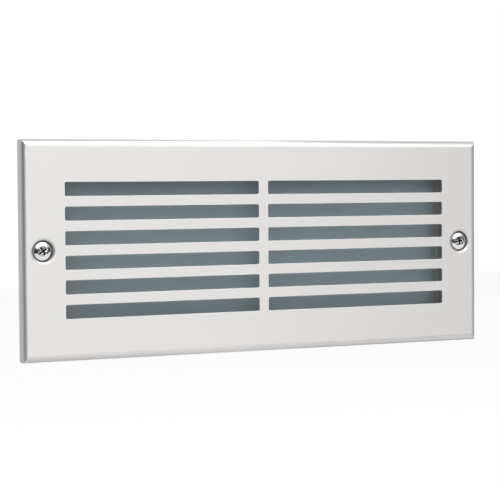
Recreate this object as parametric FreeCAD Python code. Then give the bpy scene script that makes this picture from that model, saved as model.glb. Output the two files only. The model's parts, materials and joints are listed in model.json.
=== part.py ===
"""Recessed step light for a brick wall: louvred steel faceplate over a cast box.

Frame: X to the viewer's right, Y into the wall, Z up. The origin is the middle of the
wall plane (y = 0), where the rear edge of the faceplate's rim bears. Millimetres.
"""
import FreeCAD, Part
import math
import os

V = FreeCAD.Vector

# ---------------------------------------------------------------- driving dimensions
# Slots in the faceplate
slot_length = 97.0
slot_height = 6.3
slot_pitch = 11.06
slot_rows = 6
slot_corner = 0.7
slot_edge = 0.15            # rounding that the punch leaves on the front edges
centre_bar = 5.0            # upright bar between the two columns of slots

# Glass, and the channel-section gasket round its edge
glass_cover = 4.2           # glass beyond the slots, on every side
glass_thickness = 4.0
glass_corner = 2.0
glass_edge_chamfer = 0.4
glass_setback = 8.0         # from the faceplate's front to the glass
gasket_web = 1.5
gasket_lip = 3.0            # how far each lip covers the glass
gasket_lip_sheet = 1.2

# Cast back box
recess_clearance = 0.2      # round the gasket
ledge_width = 3.4           # shelf that the gasket rests on
boss_radius = 4.5           # bosses for the faceplate screws
boss_gap = 0.1              # between the recess and each boss
boss_floor = 2.5
collar_rim = 0.5            # collar beyond the bosses
collar_wall = 5.3           # collar above and below the recess
collar_proud = 0.8          # collar in front of the gasket
collar_depth = 13.0
collar_corner = 6.0
collar_edge = 0.8
casting_wall = 2.5
cavity_corner = 6.0
end_draft = 9.6             # how much each end of the cavity draws in towards the rear
side_draft = 0.7            # the same for its top and bottom
rear_edge = 2.5             # rounding of the rear edges
rib_spacing = 84.0          # ribs outside the box that key it into the mortar
rib_thickness = 3.0
rib_height = 1.6            # beyond the body at the collar
rib_run_out = 3.2
rib_end = 8.0               # from a rib's end to the box's rear
tapped_floor = 1.0          # metal left under the tapped holes in the rear wall

# Faceplate
plate_sheet = 1.0
rim_depth = 5.0
rim_bend = 3.2              # outside radius from face to rim
plate_corner = 1.0          # rounding of the rim's four corners
cover_ends = 5.0            # plate beyond the collar at each end
cover_sides = 8.0           # plate beyond the collar above and below

# Faceplate screws (M5 pan head), washers and the dimples they sit in
thread_radius = 2.4
thread_clearance = 0.1
screw_length = 13.0
screw_point = 0.5           # chamfer at the tip of each screw
head_radius = 4.35
head_height = 3.0
recess_size = 5.0           # across the arms of the cross recess
left_recess_turn = 34.0     # degrees, as the screws happen to stand
right_recess_turn = 12.0
tip_clearance = 1.2         # below the screw's tip in its blind hole
washer_radius = 4.3
washer_thickness = 0.6
washer_edge = 0.2
dimple_depth = 3.6
dimple_seat_radius = 4.7
dimple_slope = 4.0          # degrees, of the dimple's wall
dimple_lip_bend = 1.3
dimple_seat_bend = 0.3      # and of the lip's rear
dimple_rear_bend = 0.9
dimple_margin = 0.4         # flat sheet round the dimple's rear
plate_hole_clearance = 0.4

# Foam strips between plate and gasket
strip_height = 4.4
strip_inset = 0.1           # inside the gasket's outer edge

# Lamp, base E27, with a 45 mm globe
globe_radius = 22.5
globe_wall = 1.0
globe_setoff = 14.5         # globe's centre beyond the housing's rim
housing_length = 41.0       # from the lamp's tip to the rim that carries the globe
housing_wall = 1.5
housing_shoulder = 0.4      # beyond the cap
flare_length = 5.0          # last stretch of the housing, nearly straight
flare_step = 0.9
flare_bend = 8.0
neck_inset = 6.0            # from the cap's start to the neck inside it
neck_clearance = 0.1
cap_radius = 13.1
cap_sheet = 0.5
cap_start = 6.0
cap_end = 27.0
insulator_start = 1.0
insulator_land = 0.8        # round the tip contact
insulator_bevel = 0.6
insulator_rim = 0.4
insulator_plug = 2.5        # inside the cap
lamp_contact_radius = 4.5
lamp_contact_edge = 0.6
board_thickness = 1.0
board_setback = 2.0         # from the housing's rim
board_pocket = 0.3          # step in the housing round the board
board_clearance = 0.1
board_ledge = 1.7           # under the board's edge
led_count = 6
led_circle = 9.0
led_length = 2.8
led_width = 3.5
led_height = 0.7
driver_sheet = 1.2
driver_clearance = 2.0      # from the driver's board to the neck
driver_start = 5.0          # from the cap's start
driver_parts_start = 3.0    # from the board's end to its larger parts
capacitor_radius = 3.2
capacitor_length = 11.0
capacitor_sunk = 0.1        # into the board, where its leads hold it
coil_length = 6.0
coil_width = 6.2
coil_height = 5.4
chip_length = 5.0
chip_width = 8.0
chip_height = 1.6
lamp_front_gap = 6.3        # from the ledge to the globe

# Lampholder and its bracket
holder_radius = 19.0
holder_base = 11.4          # length of the wider base
holder_step = 1.0
holder_step_run = 2.3
holder_floor = 8.0
holder_cover = 1.0          # porcelain beyond the lamp's cap
holder_mouth_edge = 1.5
shell_clearance = 0.3       # between the lamp's cap and the threaded shell
shell_sheet = 0.5
shell_fit = 0.1             # in the porcelain
shell_lip = 4.0
shell_setback = 4.0         # from the holder's mouth
shell_edge = 0.8
contact_height = 1.9
contact_gap = 0.1
contact_sheet = 0.6
contact_strip_length = 14.0
contact_strip_width = 6.0
button_base_radius = 4.0
button_top_radius = 2.6
terminal_setback = 0.5      # of the clamps from the middle of the holder's floor
terminal_offset = 12.0      # of the holder's clamps behind the lamp's axis
terminal_spread = 6.0       # of the holder's clamps above and below the axis
clamp_width = 5.0
clamp_depth = 6.0
clamp_bore = 4.0            # depth of its two holes, from the middle
clamp_screw_radius = 1.3
clamp_screw_length = 4.4
clamp_screw_clearance = 0.2
clamp_head_radius = 2.3
clamp_head_height = 1.5
clamp_head_place = 5.5      # underside of its head from the clamp's middle
clamp_head_clearance = 0.4
wire_hole_clearance = 0.4
holder_wire_stop = 4.0      # from a clamp's middle to the end of its wire's insulation
holder_screw_spread = 8.5
bracket_sheet = 1.5
bracket_bend = 2.0
bracket_half_width = 12.0
bracket_reach = 17.0        # upright beyond the lamp's axis, towards the front
foot_length = 19.0
foot_inset = 1.6            # foot from the end wall
foot_pad = 3.0              # cast pad under the foot
foot_screw_spread = 4.0     # of the foot's screws either side of its middle

# Reflector
reflector_gap = 1.7         # behind the globe
reflector_sheet = 0.8
reflector_standoff = 5.5    # room for the wires behind it
reflector_depth = 16.0
reflector_half_height = 22.0
reflector_flare = 9.0
reflector_end_flare = 4.0
reflector_corner = 2.0
reflector_holder_gap = 5.5  # from the lampholder's mouth
reflector_block_gap = 15.0  # from the terminal block
standoff_radius = 3.5
standoff_inset = 6.0        # of the reflector's screws from its corners

# Terminal block
block_length = 18.0
block_half_height = 18.0
block_web = 4.5
pole_pitch = 12.0
pole_count = 3
pole_radius = 4.9
pole_height = 6.5           # wire holes above the block's base
tower_radius = 3.2
tower_height = 8.0
insert_radius = 2.8
insert_bore = 1.6
insert_clearance = 0.05
insert_inset = 1.0          # from the ends of the block
pole_screw_radius = 1.45
pole_screw_length = 4.9
pole_head_radius = 2.1
pole_head_height = 1.6
pole_head_place = 5.6       # underside of its head from the wire hole's axis
pole_head_clearance = 0.1
block_pad = 2.0
block_pad_inset = 3.0
block_entry_gap = 8.0       # from the block to the cable entry's axis

# Cable entries and fixings in the rear wall
entry_inset = 9.4           # from the end wall
entry_rise = 10.6           # from the lower wall
entry_hole_radius = 6.5
grommet_clearance = 0.1
grommet_flange_radius = 8.0
grommet_flange_inner = 1.5
grommet_flange_outer = 2.0
nozzle_length = 10.0
nozzle_base_radius = 5.6
nozzle_tip_radius = 4.7
cable_bore_radius = 3.5
neck_bore_radius = 4.6      # wider bore behind the nozzle
plug_flange_step = 0.6      # its inner flange is this much smaller
plug_dish_slope = 1.0
plug_dish_depth = 0.9
rubber_edge = 0.6
fixing_inset = 12.4         # from the end wall
fixing_drop = 8.6           # from the upper wall
fixing_hole_radius = 2.5

# Earth stud and wires
earth_from_block = 7.0
earth_rise = 5.1            # from the lower wall
earth_pad = 4.0
earth_pad_radius = 4.0
tag_sheet = 0.8
tag_radius = 3.8
tag_clearance = 0.1
tag_neck_width = 3.0
tag_neck_length = 2.0
barrel_radius = 1.6
barrel_length = 5.0
barrel_gap = 0.7            # from the ring to the barrel
wire_radius = 1.1
wire_bend = 5.0
wire_insert = 0.8           # insulation inside the terminal block's wire hole
wire_lead_out = 4.5         # straight run out of the terminal block
wire_under_flare = 2.5      # where a wire has gone behind the reflector
wire_over_mouth = 4.0       # where it comes out again, before the lampholder's mouth
wire_above_barrel = 2.4
conductor_radius = 0.7
conductor_reach = 7.0       # from the end of the terminal block

# Proportions of every pan head, as shares of its height and radius, and of its recess
crown_share = 0.12          # height of the flat crown's edge below the crown
crown_reach = 0.62          # radius of that edge
crown_bend = 0.5
side_share = 0.62           # height of the head's side
side_bend = 0.3
recess_depth_share = 0.7
arm_mouth_share = 0.22      # width of a recess arm at its mouth, of its length
arm_foot_share = 0.14
arm_foot_length = 0.5

# Small screws
m3_radius = 1.5
m3_head_radius = 2.8
m3_head_height = 1.8
m3_recess = 3.0
m4_radius = 2.0
m4_head_radius = 3.6
m4_head_height = 2.2
m4_recess = 4.0
reflector_screw_length = 5.5
bracket_screw_length = 6.0
holder_screw_length = 6.5
block_screw_length = 7.0
earth_screw_length = 5.5
screw_hole_clearance = 0.2
blind_clearance = 1.0       # beyond the tip of a screw in porcelain
driver_slot = 0.7           # width of a slotted head's slot
small_edge = 0.3
fine_edge = 0.5

through = 1.0               # how far cutting tools run past the faces they cut

# ------------------------------------------------------------------ derived places
wall_plane = 0.0
face_front = wall_plane - rim_depth
face_back = face_front + plate_sheet
seat_front = face_front + dimple_depth
seat_back = seat_front + plate_sheet

field_half_x = centre_bar / 2 + slot_length
field_half_z = ((slot_rows - 1) * slot_pitch + slot_height) / 2
glass_half_x = field_half_x + glass_cover
glass_half_z = field_half_z + glass_cover
glass_front = face_front + glass_setback
glass_rear = glass_front + glass_thickness
gasket_half_x = glass_half_x + gasket_web
gasket_half_z = glass_half_z + gasket_web
gasket_front = glass_front - gasket_lip_sheet
gasket_rear = glass_rear + gasket_lip_sheet
gasket_corner = glass_corner + gasket_web

recess_half_x = gasket_half_x + recess_clearance
recess_half_z = gasket_half_z + recess_clearance
ledge = gasket_rear
screw_x = recess_half_x + boss_gap + boss_radius
collar_half_x = screw_x + boss_radius + collar_rim
collar_half_z = recess_half_z + collar_wall
collar_front = gasket_front - collar_proud
collar_rear = collar_front + collar_depth
plate_half_x = collar_half_x + cover_ends
plate_half_z = collar_half_z + cover_sides

head_seat = seat_front - washer_thickness
screw_tip = head_seat + screw_length
boss_hole_end = screw_tip + tip_clearance
dimple_tangent = math.tan(math.radians(dimple_slope))
dimple_mouth = dimple_seat_radius + dimple_depth * dimple_tangent
dimple_slant = plate_sheet / math.cos(math.radians(dimple_slope))
dimple_rear_mouth = dimple_seat_radius + dimple_slant + (seat_front - face_back) * dimple_tangent
dimple_outer = dimple_rear_mouth + dimple_margin

cavity_front_x = recess_half_x - ledge_width
cavity_front_z = recess_half_z - ledge_width
cavity_rear_x = cavity_front_x - end_draft
cavity_rear_z = cavity_front_z - side_draft

lamp_y = ledge + lamp_front_gap + globe_radius
reflector_rear_inside = lamp_y + globe_radius + reflector_gap
reflector_rear = reflector_rear_inside + reflector_sheet
reflector_front = reflector_rear_inside - reflector_depth
cavity_rear = reflector_rear + reflector_standoff
box_rear = cavity_rear + casting_wall
wire_y = reflector_rear + reflector_standoff / 2

holder_length = holder_floor + contact_height + contact_gap + cap_end + holder_cover
foot_left = -(cavity_rear_x - foot_inset)
upright_right = foot_left + foot_length
foot_front = cavity_rear - foot_pad - bracket_sheet
holder_left = upright_right
holder_mouth = holder_left + holder_length
holder_bottom = holder_left + holder_floor
lamp_tip = holder_bottom + contact_height + contact_gap
shell_inner = cap_radius + shell_clearance
shell_outer = shell_inner + shell_sheet
shell_length = holder_length - holder_floor - shell_setback
terminal_x = holder_left + holder_floor / 2 - terminal_setback
terminal_y = lamp_y + terminal_offset

globe_centre = housing_length + globe_setoff
board_seat = housing_length - board_setback
neck_radius = cap_radius - cap_sheet - neck_clearance

entry_x = cavity_rear_x - entry_inset
entry_z = -(cavity_rear_z - entry_rise)
fixing_x = cavity_rear_x - fixing_inset
fixing_z = cavity_rear_z - fixing_drop
block_right = entry_x - block_entry_gap
block_left = block_right - block_length
block_base = cavity_rear - block_pad
pole_y = block_base - pole_height
pole_z = [(row - (pole_count - 1) / 2) * pole_pitch for row in range(pole_count)]
reflector_left = holder_mouth + reflector_holder_gap
reflector_right = block_left - reflector_block_gap
earth_x = block_left - earth_from_block
earth_z = -(cavity_rear_z - earth_rise)
earth_y = cavity_rear - earth_pad


# ------------------------------------------------------------------ shape helpers
def path(corners, closed=False):
    """Wire through (point, radius) corners: straight runs joined by tangent arcs."""
    count = len(corners)
    stops = []
    for index, (point, radius) in enumerate(corners):
        if radius == 0 or (not closed and index in (0, count - 1)):
            stops.append((point, None, point))
            continue
        back = (corners[index - 1][0] - point).normalize()
        onward = (corners[(index + 1) % count][0] - point).normalize()
        half_angle = back.getAngle(onward) / 2
        reach = radius / math.tan(half_angle)
        inward = (back + onward).normalize()
        middle = point + inward * (radius / math.sin(half_angle) - radius)
        stops.append((point + back * reach, middle, point + onward * reach))
    edges = []
    for index, (start, middle, end) in enumerate(stops):
        if middle is not None:
            edges.append(Part.Arc(start, middle, end).toShape())
        if closed or index < count - 1:
            following = stops[(index + 1) % count][0]
            if end.distanceToPoint(following) > 1e-6:
                edges.append(Part.LineSegment(end, following).toShape())
    return Part.Wire(edges)


def rectangle(half_x, half_z, y, corner, x=0.0, z=0.0):
    """Upright rounded rectangle, facing along Y."""
    signs = ((1, 1), (-1, 1), (-1, -1), (1, -1))
    return path([(V(x + sx * half_x, y, z + sz * half_z), corner) for sx, sz in signs], True)


def slab(half_x, half_z, front, rear, corner, x=0.0, z=0.0):
    """Rounded rectangle run along Y from front to rear."""
    face = Part.Face(rectangle(half_x, half_z, front, corner, x, z))
    return face.extrude(V(0, rear - front, 0))


def block(low, high):
    """Square-edged box between two corners."""
    size = high - low
    return Part.makeBox(size.x, size.y, size.z, low)


def rod(radius, start, end):
    """Round bar from one point to another."""
    along = end - start
    return Part.makeCylinder(radius, along.Length, start, along)


def turned(corners):
    """Solid of revolution about Y from (radius, along) or (radius, along, rounding)."""
    outline = []
    for corner in corners:
        rounding = corner[2] if len(corner) == 3 else 0
        outline.append((V(corner[0], corner[1], 0), rounding))
    return Part.Face(path(outline, True)).revolve(V(0, 0, 0), V(0, 1, 0), 360)


def aimed(solid, direction, point):
    """Copy of a solid built along +Y from the origin, laid along a direction from a point."""
    copy = solid.copy()
    placing = FreeCAD.Placement(point, FreeCAD.Rotation(V(0, 1, 0), direction))
    copy.Placement = placing.multiply(solid.Placement)
    return copy


def edges_on(solid, y):
    """Edges that lie in the plane at y."""
    return [edge for edge in solid.Edges
            if all(abs(vertex.Point.y - y) < 1e-6 for vertex in edge.Vertexes)]


def cross_recess(size, top, depth, turn=0.0):
    """Cutter for a tapered cross recess, its mouth at y = top."""
    arms = []
    for angle in (0, 90):
        mouth = rectangle(size / 2, size * arm_mouth_share / 2, top, 0)
        foot = rectangle(size * arm_foot_length / 2, size * arm_foot_share / 2, top + depth, 0)
        arm = Part.makeLoft([mouth, foot], True, True)
        arm.rotate(V(0, 0, 0), V(0, 1, 0), angle - turn)
        arms.append(arm)
    return arms[0].fuse(arms[1])


def pan_screw(shaft_radius, length, head_r, head_h, recess, turn=0.0):
    """Pan-head screw along +Y, the underside of its head at the origin."""
    crown_edge = head_h * (1 - crown_share)
    screw = turned([
        (0, -head_h), (head_r * crown_reach, -crown_edge, head_r * crown_bend),
        (head_r, -head_h * side_share, head_h * side_bend), (head_r, 0), (shaft_radius, 0),
        (shaft_radius, length - screw_point), (shaft_radius - screw_point, length), (0, length)])
    return screw.cut(cross_recess(recess, -head_h, head_h * recess_depth_share, turn))


def slotted_screw(shaft_radius, length, head_r, head_h):
    """Slotted cheese-head screw along +Y, the underside of its head at the origin."""
    screw = turned([
        (0, -head_h), (head_r, -head_h, small_edge), (head_r, 0), (shaft_radius, 0),
        (shaft_radius, length), (0, length)])
    half_slot = driver_slot / 2
    return screw.cut(block(V(-head_r - through, -head_h - through, -half_slot),
                           V(head_r + through, -head_h / 2, half_slot)))


def wire_path(points):
    """Route of a wire: straight runs joined by arcs as large as wire_bend allows."""
    corners = [(points[0], 0)]
    for before, point, after in zip(points, points[1:], points[2:]):
        back = before - point
        onward = after - point
        half_turn = (math.pi - back.getAngle(onward)) / 2
        largest = 0.45 * min(back.Length, onward.Length) / math.tan(half_turn)
        corners.append((point, min(wire_bend, largest)))
    corners.append((points[-1], 0))
    return path(corners)


def wire_solid(name, points):
    """Insulated wire along its route, its volume compared with section times length."""
    route = wire_path(points)
    section = Part.Wire(Part.makeCircle(wire_radius, points[0], points[1] - points[0]))
    solid = route.makePipeShell([section], True, False)
    expected = math.pi * wire_radius ** 2 * route.Length
    print("%s: length %.1f mm, volume ratio %.4f" % (name, route.Length, solid.Volume / expected))
    return solid


def save(node, *solids):
    """Write one node, a single solid or a group of separate ones."""
    for solid in solids:
        if not solid.isValid() or len(solid.Solids) != 1:
            raise ValueError("bad solid in " + node)
    shape = solids[0] if len(solids) == 1 else Part.makeCompound(list(solids))
    shape.exportStep("parts/%s.step" % node)


# ----------------------------------------------------------- faceplate and its screws
def pan(half_x, half_z, front, rear, bend):
    """Solid block whose front edges are bends that meet in mitres."""
    low = V(-half_x, rear, -half_z)
    ends = path([(low, 0), (V(-half_x, front, -half_z), bend),
                 (V(half_x, front, -half_z), bend), (V(half_x, rear, -half_z), 0)], True)
    sides = path([(low, 0), (V(-half_x, front, -half_z), bend),
                  (V(-half_x, front, half_z), bend), (V(-half_x, rear, half_z), 0)], True)
    return Part.Face(ends).extrude(V(0, 0, 2 * half_z)).common(
        Part.Face(sides).extrude(V(2 * half_x, 0, 0)))


def slot_cutters():
    cutters = []
    for side in (-1, 1):
        for row in range(slot_rows):
            x = side * (centre_bar + slot_length) / 2
            z = (row - (slot_rows - 1) / 2) * slot_pitch
            cutters.append(slab(slot_length / 2, slot_height / 2, face_front - through,
                                face_back + through, slot_corner, x, z))
    return cutters


def in_slot_field(edge):
    """Whether an edge of the face belongs to a slot, and not to the face's outline."""
    middle = edge.CenterOfMass
    return abs(middle.x) < field_half_x + slot_edge and abs(middle.z) < field_half_z + slot_edge


def dimple(side):
    """Pressed dimple round one faceplate screw, with the sheet's own thickness."""
    hole = thread_radius + plate_hole_clearance
    rear_low = dimple_seat_radius + dimple_slant - plate_sheet * dimple_tangent
    cup = turned([
        (dimple_outer, face_front), (dimple_mouth, face_front, dimple_lip_bend),
        (dimple_seat_radius, seat_front, dimple_seat_bend), (hole, seat_front), (hole, seat_back),
        (rear_low, seat_back, dimple_rear_bend), (dimple_rear_mouth, face_back, dimple_seat_bend),
        (dimple_outer, face_back)])
    cup.translate(V(side * screw_x, 0, 0))
    return cup


def faceplate():
    """Pressed pan with its slots, and a dimple at each end."""
    outside = pan(plate_half_x, plate_half_z, face_front, wall_plane, rim_bend)
    outside = outside.common(slab(plate_half_x, plate_half_z, face_front, wall_plane, plate_corner))
    inside = pan(plate_half_x - plate_sheet, plate_half_z - plate_sheet, face_back,
                 wall_plane + through, rim_bend - plate_sheet)
    plate = outside.cut(inside).cut(slot_cutters())
    plate = plate.makeFillet(slot_edge, [e for e in edges_on(plate, face_front) if in_slot_field(e)])
    for side in (-1, 1):
        mouth = rod(dimple_outer, V(side * screw_x, face_front - through, 0),
                    V(side * screw_x, face_back + through, 0))
        plate = plate.cut(mouth).fuse(dimple(side))
    return plate.removeSplitter()


def faceplate_screw(side, turn):
    screw = pan_screw(thread_radius, screw_length, head_radius, head_height, recess_size, turn)
    return aimed(screw, V(0, 1, 0), V(side * screw_x, head_seat, 0))


def sealing_washer(side):
    hole = thread_radius + thread_clearance
    ring = turned([
        (hole, 0), (washer_radius, 0, washer_edge), (washer_radius, washer_thickness),
        (hole, washer_thickness)])
    return aimed(ring, V(0, 1, 0), V(side * screw_x, head_seat, 0))


# ------------------------------------------------------------------ glass and gasket
def diffuser_glass():
    pane = slab(glass_half_x, glass_half_z, glass_front, glass_rear, glass_corner)
    rims = edges_on(pane, glass_front) + edges_on(pane, glass_rear)
    return pane.makeChamfer(glass_edge_chamfer, rims)


def glass_gasket():
    outside = slab(gasket_half_x, gasket_half_z, gasket_front, gasket_rear, gasket_corner)
    groove = slab(glass_half_x, glass_half_z, glass_front, glass_rear, glass_corner)
    window = slab(glass_half_x - gasket_lip, glass_half_z - gasket_lip,
                  gasket_front - through, gasket_rear + through, glass_corner)
    return outside.cut([groove, window])


def pressure_strips():
    strips = []
    top = gasket_half_z - strip_inset
    half_length = gasket_half_x - gasket_corner
    for low in (top - strip_height, -top):
        strips.append(block(V(-half_length, face_back, low),
                            V(half_length, gasket_front, low + strip_height)))
    return strips


# ------------------------------------------------------------------------- back box
def entry_places():
    """Cable entries, right and left, as points on the rear wall's outer face."""
    return [V(side * entry_x, box_rear, entry_z) for side in (1, -1)]


def foot_screw_places():
    """Places of the bracket's two screws along its foot."""
    flat_end = upright_right - bracket_sheet - bracket_bend
    return [V((foot_left + flat_end) / 2 + side * foot_screw_spread, foot_front, 0)
            for side in (-1, 1)]


def reflector_screw_places():
    """Places of the reflector's two screws, at opposite corners."""
    z = reflector_half_height - standoff_inset
    return [V(reflector_left + standoff_inset, reflector_rear_inside, -z),
            V(reflector_right - standoff_inset, reflector_rear_inside, z)]


def block_screw_places():
    """Places of the two screws that hold the terminal block, between its poles."""
    x = (block_left + block_right) / 2
    return [V(x, block_base - block_web, side * pole_pitch / 2) for side in (-1, 1)]


def mortar_ribs():
    """Shallow ribs along the top and bottom of the body, from the collar towards the rear."""
    top = cavity_front_z + casting_wall + rib_height
    rear_top = cavity_rear_z + casting_wall
    end = box_rear - rib_end
    ribs = []
    for side in (-1, 1):
        low = side * rib_spacing / 2 - rib_thickness / 2
        outline = path([(V(low, y, z), 0) for y, z in (
            (collar_rear - through, -top), (collar_rear - through, top),
            (end - rib_run_out, rear_top + rib_height), (end, rear_top), (end, -rear_top),
            (end - rib_run_out, -rear_top - rib_height))], True)
        ribs.append(Part.Face(outline).extrude(V(rib_thickness, 0, 0)))
    return ribs


def box_pads():
    """Raised pads inside the rear wall, under everything that is screwed to it."""
    sunk = cavity_rear + casting_wall / 2
    pads = [block(V(foot_left, foot_front + bracket_sheet, -bracket_half_width),
                  V(upright_right - bracket_sheet - bracket_bend, sunk, bracket_half_width)),
            block(V(block_left + block_pad_inset, block_base, -block_half_height),
                  V(block_right - block_pad_inset, sunk, block_half_height)),
            rod(earth_pad_radius, V(earth_x, earth_y, earth_z), V(earth_x, sunk, earth_z))]
    for place in reflector_screw_places():
        pads.append(rod(standoff_radius, V(place.x, reflector_rear, place.z),
                        V(place.x, sunk, place.z)))
    return pads


def box_holes():
    """Holes for the faceplate screws, the wall fixings, the cables and the small screws."""
    holes = []
    for side in (-1, 1):
        holes.append(rod(thread_radius + thread_clearance, V(side * screw_x, seat_back - through, 0),
                         V(side * screw_x, boss_hole_end, 0)))
        holes.append(rod(fixing_hole_radius, V(side * fixing_x, cavity_rear - through, fixing_z),
                         V(side * fixing_x, box_rear + through, fixing_z)))
    for place in entry_places():
        holes.append(rod(entry_hole_radius, place - V(0, casting_wall + through, 0),
                         place + V(0, through, 0)))
    floor = box_rear - tapped_floor
    for place in foot_screw_places() + [V(earth_x, earth_y - through, earth_z)]:
        holes.append(rod(m4_radius, place, V(place.x, floor, place.z)))
    for place in reflector_screw_places() + block_screw_places():
        holes.append(rod(m3_radius, place, V(place.x, floor, place.z)))
    return holes


def back_box():
    """Cast box: collar with recess and ledge, tapered body, bosses, pads and holes."""
    collar = slab(collar_half_x, collar_half_z, collar_front, collar_rear, collar_corner)
    collar = collar.makeChamfer(collar_edge, edges_on(collar, collar_front))
    body_corner = cavity_corner + casting_wall
    body = Part.makeLoft([
        rectangle(cavity_front_x + casting_wall, cavity_front_z + casting_wall, ledge, body_corner),
        rectangle(cavity_rear_x + casting_wall, cavity_rear_z + casting_wall, box_rear, body_corner),
    ], True, True)
    body = body.makeFillet(rear_edge, edges_on(body, box_rear))
    box = collar.fuse(body).fuse(mortar_ribs())
    for side in (-1, 1):
        box = box.fuse(rod(boss_radius, V(side * screw_x, seat_back, 0),
                           V(side * screw_x, boss_hole_end + boss_floor, 0)))
    recess = slab(recess_half_x, recess_half_z, collar_front - through, ledge,
                  gasket_corner + recess_clearance)
    cavity = Part.makeLoft([
        rectangle(cavity_front_x, cavity_front_z, ledge, cavity_corner),
        rectangle(cavity_rear_x, cavity_rear_z, cavity_rear, cavity_corner)], True, True)
    return box.cut([recess, cavity]).fuse(box_pads()).cut(box_holes())


# ------------------------------------------------------------------------ reflector
def reflector_tray(grow, rear):
    """Solid tray with a flat rear and flared sides, running past the reflector's open end."""
    left = reflector_left - 2 * reflector_corner
    mid_rear = (left + reflector_right + grow) / 2
    mid_front = (left + reflector_right + reflector_end_flare + grow) / 2
    half_height = reflector_half_height + grow
    rear_face = rectangle(mid_rear - left, half_height, rear, reflector_corner, mid_rear)
    front_face = rectangle(mid_front - left, half_height + reflector_flare, reflector_front,
                           reflector_corner, mid_front)
    return Part.makeLoft([front_face, rear_face], True, True)


def reflector():
    """Bent tray behind the lamp, open towards the lampholder."""
    inside = reflector_tray(0, reflector_rear_inside)
    inside_left = inside.BoundBox.XMin
    tray = reflector_tray(reflector_sheet, reflector_rear).cut(inside)
    reach = reflector_half_height + reflector_flare + reflector_sheet + through
    open_end = block(V(inside_left - through, reflector_front - through, -reach),
                     V(reflector_left, reflector_rear + through, reach))
    holes = [rod(m3_radius + screw_hole_clearance, place - V(0, through, 0),
                 place + V(0, through + reflector_sheet, 0)) for place in reflector_screw_places()]
    return tray.cut([open_end] + holes)


def reflector_screws():
    screw = pan_screw(m3_radius, reflector_screw_length, m3_head_radius, m3_head_height, m3_recess)
    return [aimed(screw, V(0, 1, 0), place) for place in reflector_screw_places()]


# -------------------------------------------------------------- lampholder and bracket
def lampholder_bracket():
    """Bent steel angle: foot on the cast pad, upright behind the lampholder."""
    front = lamp_y - bracket_reach
    rear = foot_front + bracket_sheet
    left = upright_right - bracket_sheet
    corners = [
        (foot_left, foot_front, 0), (left, foot_front, bracket_bend), (left, front, 0),
        (upright_right, front, 0), (upright_right, rear, bracket_bend + bracket_sheet),
        (foot_left, rear, 0)]
    outline = path([(V(x, y, -bracket_half_width), radius) for x, y, radius in corners], True)
    angle = Part.Face(outline).extrude(V(0, 0, 2 * bracket_half_width))
    holes = [rod(m4_radius + screw_hole_clearance, place - V(0, through, 0),
                 place + V(0, bracket_sheet + through, 0)) for place in foot_screw_places()]
    for side in (-1, 1):
        z = side * holder_screw_spread
        holes.append(rod(m3_radius + screw_hole_clearance, V(left - through, lamp_y, z),
                         V(upright_right + through, lamp_y, z)))
    return angle.cut(holes)


def bracket_screws():
    screw = pan_screw(m4_radius, bracket_screw_length, m4_head_radius, m4_head_height, m4_recess)
    return [aimed(screw, V(0, 1, 0), place) for place in foot_screw_places()]


def lampholder_fixing_screws():
    screw = pan_screw(m3_radius, holder_screw_length, m3_head_radius, m3_head_height, m3_recess)
    left = upright_right - bracket_sheet
    return [aimed(screw, V(1, 0, 0), V(left, lamp_y, side * holder_screw_spread))
            for side in (-1, 1)]


def clamp_middle(side):
    """Middle of one brass clamp in the lampholder's floor."""
    return V(terminal_x, terminal_y, side * terminal_spread)


def clamp_block(side):
    half = V(clamp_width / 2, clamp_depth / 2, clamp_width / 2)
    return block(clamp_middle(side) - half, clamp_middle(side) + half)


def lampholder_body():
    """Porcelain body: threaded-shell bore, two clamp pockets, wire and screw holes."""
    upper = holder_radius - holder_step
    bore = shell_outer + shell_fit
    body = turned([
        (0, 0), (holder_radius, 0, small_edge), (holder_radius, holder_base, fine_edge),
        (upper, holder_base + holder_step_run, fine_edge),
        (upper, holder_length, holder_mouth_edge), (bore, holder_length, fine_edge),
        (bore, holder_floor, small_edge), (0, holder_floor)])
    body = aimed(body, V(1, 0, 0), V(holder_left, lamp_y, 0))
    head = clamp_head_radius + clamp_head_clearance
    screw_hole = holder_screw_length - bracket_sheet + blind_clearance
    cuts = []
    for side in (-1, 1):
        middle = clamp_middle(side)
        out = V(0, 0, side * holder_radius)
        pocket = clamp_block(side)
        cuts.append(pocket.fuse(pocket.translated(V(-holder_floor / 2, 0, 0))))
        cuts.append(rod(wire_radius + wire_hole_clearance, middle, middle + V(0, holder_radius, 0)))
        cuts.append(rod(clamp_screw_radius + clamp_screw_clearance, middle, middle + out))
        cuts.append(rod(head, middle + V(0, 0, side * clamp_head_place), middle + out))
        z = side * holder_screw_spread
        cuts.append(rod(m3_radius, V(holder_left - through, lamp_y, z),
                        V(holder_left + screw_hole, lamp_y, z)))
    return body.cut(cuts)


def lampholder_shell():
    shell = turned([
        (shell_inner - shell_lip, 0), (shell_outer, 0, shell_edge), (shell_outer, shell_length),
        (shell_inner, shell_length), (shell_inner, shell_sheet, shell_edge - shell_sheet),
        (shell_inner - shell_lip, shell_sheet)])
    return aimed(shell, V(1, 0, 0), V(holder_bottom, lamp_y, 0))


def lampholder_contact():
    """Spring strip on the bore's floor, with a raised button under the lamp's tip."""
    half = V(0, contact_strip_length / 2, contact_strip_width / 2)
    middle = V(holder_bottom, lamp_y, 0)
    strip = block(middle - half, middle + half + V(contact_sheet, 0, 0))
    button = turned([(0, 0), (button_base_radius, 0),
                     (button_top_radius, contact_height, small_edge), (0, contact_height)])
    return strip.fuse(aimed(button, V(1, 0, 0), middle))


def lampholder_terminals():
    clamps = []
    for side in (-1, 1):
        middle = clamp_middle(side)
        clamps.append(clamp_block(side).cut([
            rod(conductor_radius + screw_hole_clearance, middle, middle + V(0, clamp_bore, 0)),
            rod(clamp_screw_radius, middle, middle + V(0, 0, side * clamp_bore))]))
    return clamps


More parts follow.
